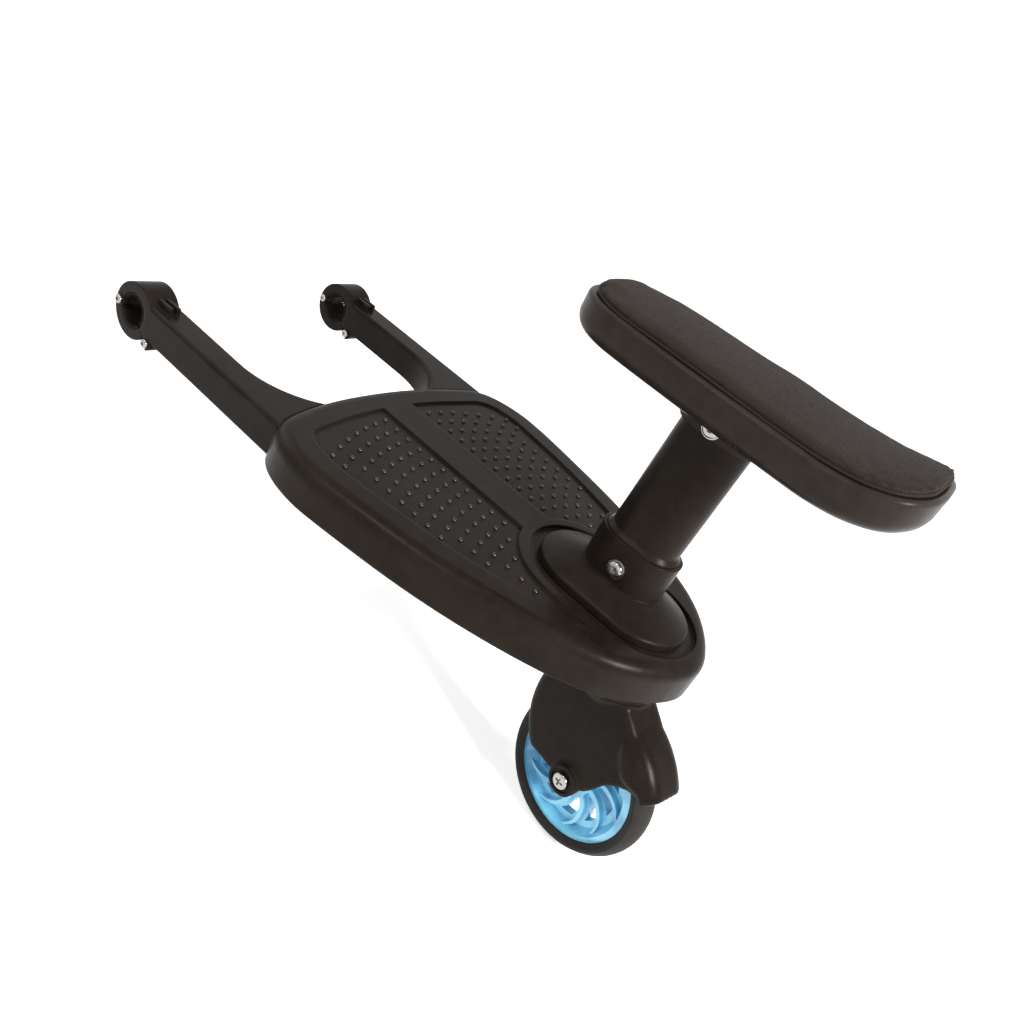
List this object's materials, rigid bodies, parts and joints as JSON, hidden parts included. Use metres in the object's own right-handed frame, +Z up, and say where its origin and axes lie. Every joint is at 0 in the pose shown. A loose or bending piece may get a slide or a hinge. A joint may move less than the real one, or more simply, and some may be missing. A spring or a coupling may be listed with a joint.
{
  "type": "buggy board",
  "caption": "Ride-on board for a pushchair: studded standing deck on a hooded caster, front arms with hinged tube clamps, and a saddle seat on a post.",
  "frame": {"origin": "on the ground, below the middle of the board's length and width", "axes": "+Y forward to the pushchair, +X to the rider's right, +Z up"},
  "size_m": [0.2613, 0.5275, 0.3745],
  "materials": {
    "black_plastic": "warm black moulded plastic, fine satin grain",
    "seat_plastic": "warm black moulded plastic",
    "pad_cover": "dark grained cover",
    "liner_rubber": "soft rubber",
    "chrome": "bright plated",
    "steel": "plain zinc steel",
    "bush_plastic": "natural bearing plastic",
    "rim_blue": "pearly sky blue",
    "tyre": "matt dark tread"
  },
  "bodies": {
    "board": {"deck": "black_plastic", "arm_left": "black_plastic", "arm_right": "black_plastic", "arm_screws": "steel", "clamp_pin_left": "chrome", "clamp_pin_right": "chrome", "clamp_liner_left": "liner_rubber", "clamp_liner_right": "liner_rubber", "seat_base": "black_plastic", "base_screws": "steel", "base_bolt": "chrome", "base_washer": "chrome", "base_nut": "steel", "seat_post": "black_plastic", "seat_bolt": "chrome", "seat_washer": "chrome", "seat_nut": "steel", "seat_pan": "seat_plastic", "seat_pad": "pad_cover", "pad_screws": "steel", "swivel_bush": "bush_plastic", "swivel_race": "bush_plastic"},
    "jaw_left": {"clamp_jaw_left": "black_plastic", "jaw_liner_left": "liner_rubber", "clamp_bolt_left": "chrome", "clamp_nut_left": "steel"},
    "jaw_right": {"clamp_jaw_right": "black_plastic", "jaw_liner_right": "liner_rubber", "clamp_bolt_right": "chrome", "clamp_nut_right": "steel"},
    "caster": {"caster_fork": "black_plastic", "kingpin": "steel", "kingpin_washer": "steel", "kingpin_nut": "steel", "axle_bolt": "chrome", "axle_nut": "steel", "axle_spacers": "steel"},
    "wheel": {"wheel_rim": "rim_blue", "tyre": "tyre", "wheel_bearing_left": "steel", "wheel_bearing_right": "steel", "bearing_spacer": "steel"}
  },
  "joints": [
    {"name": "caster_swivel", "type": "hinge", "parent": "board", "child": "caster", "pos_m": [0, -0.175, 0.16], "axis": [0, 0, 1], "continuous": true},
    {"name": "wheel_spin", "type": "hinge", "parent": "caster", "child": "wheel", "pos_m": [-0.00382, -0.19463, 0.06], "axis": [0.9816, -0.1908, 0], "continuous": true},
    {"name": "jaw_left_hinge", "type": "hinge", "parent": "board", "child": "jaw_left", "pos_m": [-0.102, 0.2589, 0.174], "axis": [1, 0, 0], "range_deg": [0, 70]},
    {"name": "jaw_right_hinge", "type": "hinge", "parent": "board", "child": "jaw_right", "pos_m": [0.102, 0.2589, 0.174], "axis": [1, 0, 0], "range_deg": [0, 70]}
  ]
}
